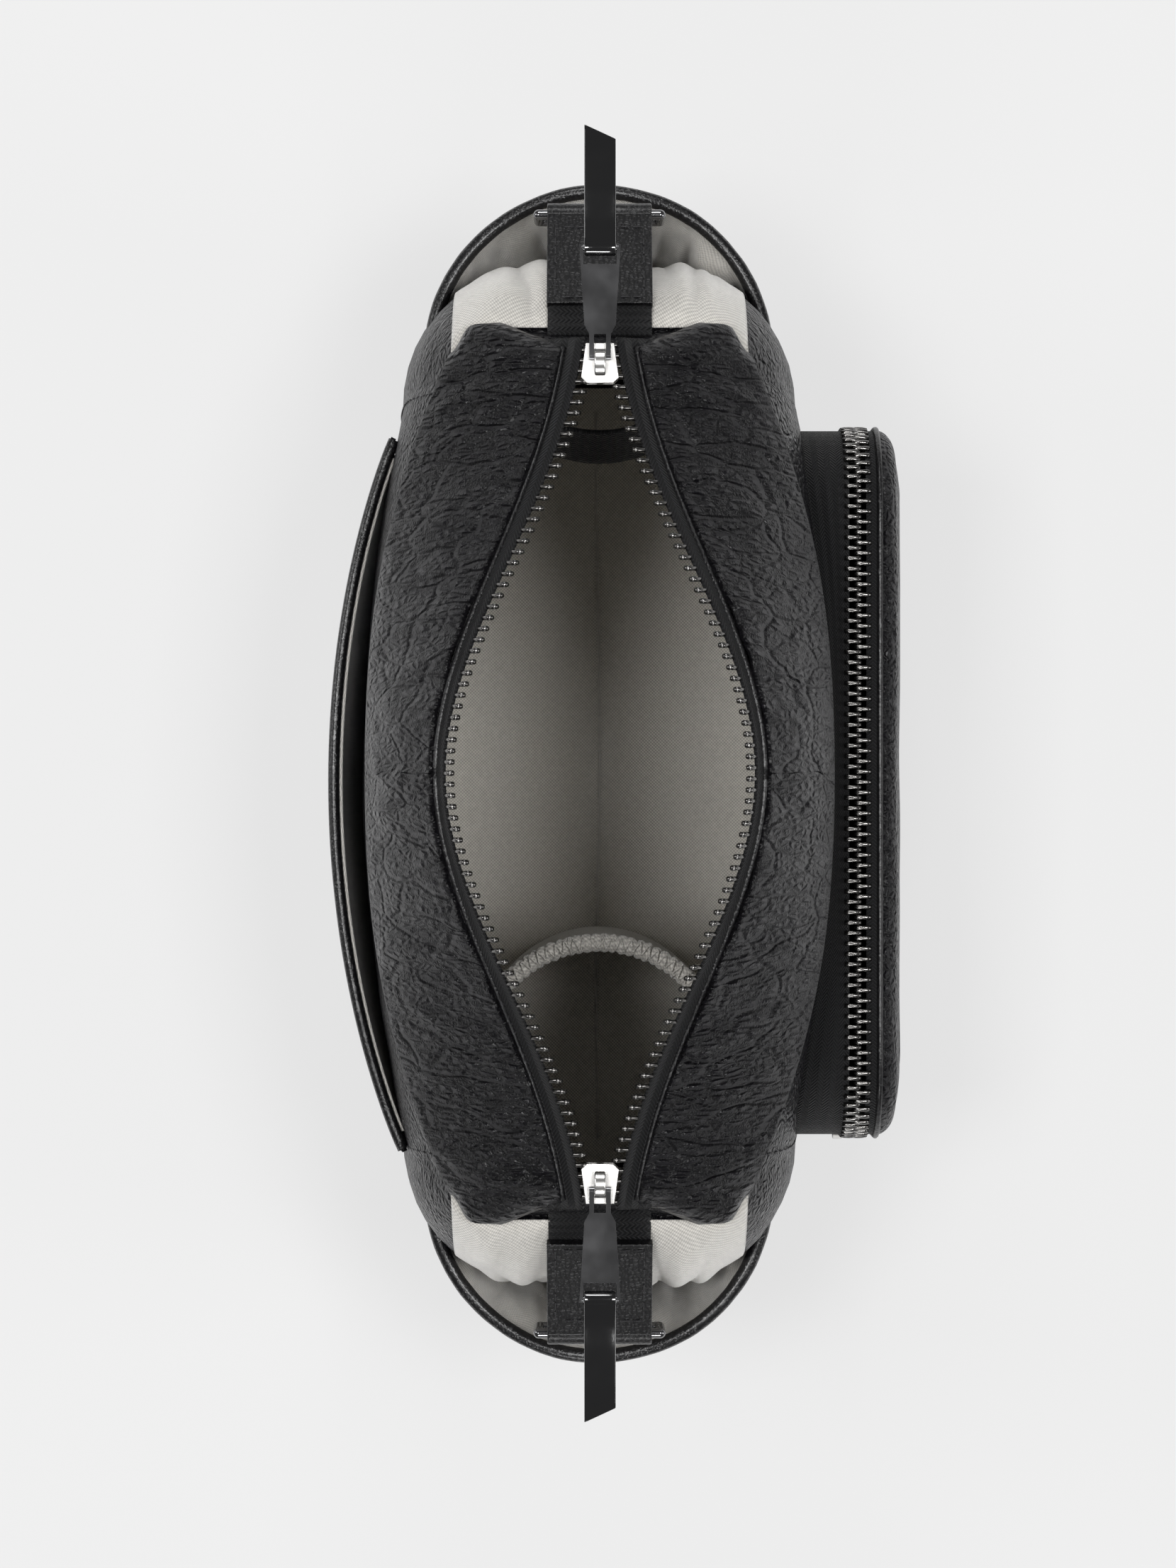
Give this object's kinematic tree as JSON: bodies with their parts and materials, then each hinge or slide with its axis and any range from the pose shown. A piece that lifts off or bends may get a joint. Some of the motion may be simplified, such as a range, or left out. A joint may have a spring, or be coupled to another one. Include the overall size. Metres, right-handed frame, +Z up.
{
  "type": "baby changing bag",
  "caption": "Soft zipped changing bag with an open top, gaping end pockets, a back slip pocket, a zipped front pocket and metal pulls.",
  "frame": {"origin": "middle of the base, on the resting surface, under the top zip's line", "axes": "+X along the bag's length, -Y towards the front pocket, +Z up"},
  "size_m": [0.3532, 0.1665, 0.2932],
  "materials": {
    "leather": "pebbled",
    "lining": "woven",
    "tape": "woven",
    "gunmetal": "black nickel",
    "nickel": "polished",
    "patent": "patent gloss"
  },
  "bodies": {
    "bag": {"anchor_loop_left": "leather", "anchor_loop_right": "leather", "anchor_webbing_left": "tape", "anchor_webbing_right": "tape", "back_panel": "leather", "back_pocket_lining": "lining", "back_pocket_panel": "leather", "back_pocket_rim": "patent", "base_panel": "leather", "bottle_pocket": "lining", "bottle_pocket_elastic": "lining", "elastic_loop": "tape", "end_gable_left": "leather", "end_gable_right": "leather", "end_panel_left": "leather", "end_panel_right": "leather", "front_panel": "leather", "front_pocket_face": "leather", "front_pocket_gusset": "leather", "front_tape_body_side": "tape", "front_tape_face_side": "tape", "front_teeth_body_side": "gunmetal", "front_teeth_face_side": "gunmetal", "front_teeth_side_run": "gunmetal", "lining_floor": "lining", "lining_walls": "lining", "side_pocket_lining_left": "lining", "side_pocket_lining_right": "lining", "side_pocket_panel_left": "leather", "side_pocket_panel_right": "leather", "side_pocket_piping_left": "patent", "side_pocket_piping_right": "patent"},
    "mouth_front": {"top_panel_front": "leather", "top_lining_front": "lining", "zip_tape_front": "tape", "zip_teeth_front": "gunmetal"},
    "mouth_back": {"top_panel_back": "leather", "top_lining_back": "lining", "zip_tape_back": "tape", "zip_teeth_back": "gunmetal"},
    "right_slider": {"right_slider": "nickel", "right_crown": "nickel"},
    "right_pull": {"right_pull": "gunmetal"},
    "right_pull_tab": {"right_pull_tab": "patent"},
    "left_slider": {"left_slider": "nickel", "left_crown": "nickel"},
    "left_pull": {"left_pull": "gunmetal"},
    "left_pull_tab": {"left_pull_tab": "patent"},
    "front_slider": {"front_slider": "nickel", "front_crown": "nickel"},
    "front_pull": {"front_pull": "gunmetal"},
    "front_pull_tab": {"front_pull_tab": "patent"},
    "strap_ring_right": {"strap_ring_right": "gunmetal"},
    "strap_ring_left": {"strap_ring_left": "gunmetal"}
  },
  "joints": [
    {"name": "right_slider_slide", "type": "slide", "parent": "bag", "child": "right_slider", "axis": [-0.9967, 0, -0.0808], "range_m": [0, 0.1072]},
    {"name": "left_slider_slide", "type": "slide", "parent": "bag", "child": "left_slider", "axis": [0.9967, 0, -0.0808], "range_m": [0, 0.1072]},
    {"name": "mouth_front_fold", "type": "hinge", "parent": "bag", "child": "mouth_front", "pos_m": [0, -0.063, 0.23], "axis": [-1, 0, 0], "range_deg": [0, 53], "deforming": ["top_panel_front", "top_lining_front", "zip_tape_front", "zip_teeth_front"]},
    {"name": "mouth_back_fold", "type": "hinge", "parent": "bag", "child": "mouth_back", "pos_m": [0, 0.063, 0.23], "axis": [1, 0, 0], "range_deg": [0, 53], "deforming": ["top_panel_back", "top_lining_back", "zip_tape_back", "zip_teeth_back"]},
    {"name": "right_pull_hinge", "type": "hinge", "parent": "right_slider", "child": "right_pull", "pos_m": [0.11445, 0, 0.26379], "axis": [0, 1, 0], "range_deg": [-165, 0]},
    {"name": "right_tab_hinge", "type": "hinge", "parent": "right_pull", "child": "right_pull_tab", "pos_m": [0.14455, 0, 0.26326], "axis": [0, -1, 0], "range_deg": [-80, 80]},
    {"name": "left_pull_hinge", "type": "hinge", "parent": "left_slider", "child": "left_pull", "pos_m": [-0.11445, 0, 0.26379], "axis": [0, -1, 0], "range_deg": [-165, 0]},
    {"name": "left_tab_hinge", "type": "hinge", "parent": "left_pull", "child": "left_pull_tab", "pos_m": [-0.14455, 0, 0.26326], "axis": [0, 1, 0], "range_deg": [-80, 80]},
    {"name": "front_slider_slide", "type": "slide", "parent": "bag", "child": "front_slider", "axis": [0, 0, 1], "range_m": [0, 0.076], "deforming": ["front_teeth_side_run"]},
    {"name": "front_pull_hinge", "type": "hinge", "parent": "front_slider", "child": "front_pull", "pos_m": [-0.11105, -0.0745, 0.09195], "axis": [0, 1, 0], "range_deg": [0, 150]},
    {"name": "front_tab_hinge", "type": "hinge", "parent": "front_pull", "child": "front_pull_tab", "pos_m": [-0.11105, -0.0745, 0.06185], "axis": [0, 1, 0], "range_deg": [0, 80]},
    {"name": "strap_ring_right_hinge", "type": "hinge", "parent": "bag", "child": "strap_ring_right", "pos_m": [0.161, 0, 0.203], "axis": [0, -1, 0], "range_deg": [-20, 120]},
    {"name": "strap_ring_left_hinge", "type": "hinge", "parent": "bag", "child": "strap_ring_left", "pos_m": [-0.161, 0, 0.203], "axis": [0, 1, 0], "range_deg": [-20, 120]}
  ],
  "couplings": [
    {"joint": "left_slider_slide", "follows": "right_slider_slide", "ratio": 1},
    {"joint": "mouth_front_fold", "follows": "right_slider_slide", "rad_per_m": 8.6127},
    {"joint": "mouth_back_fold", "follows": "right_slider_slide", "rad_per_m": 8.6127}
  ]
}
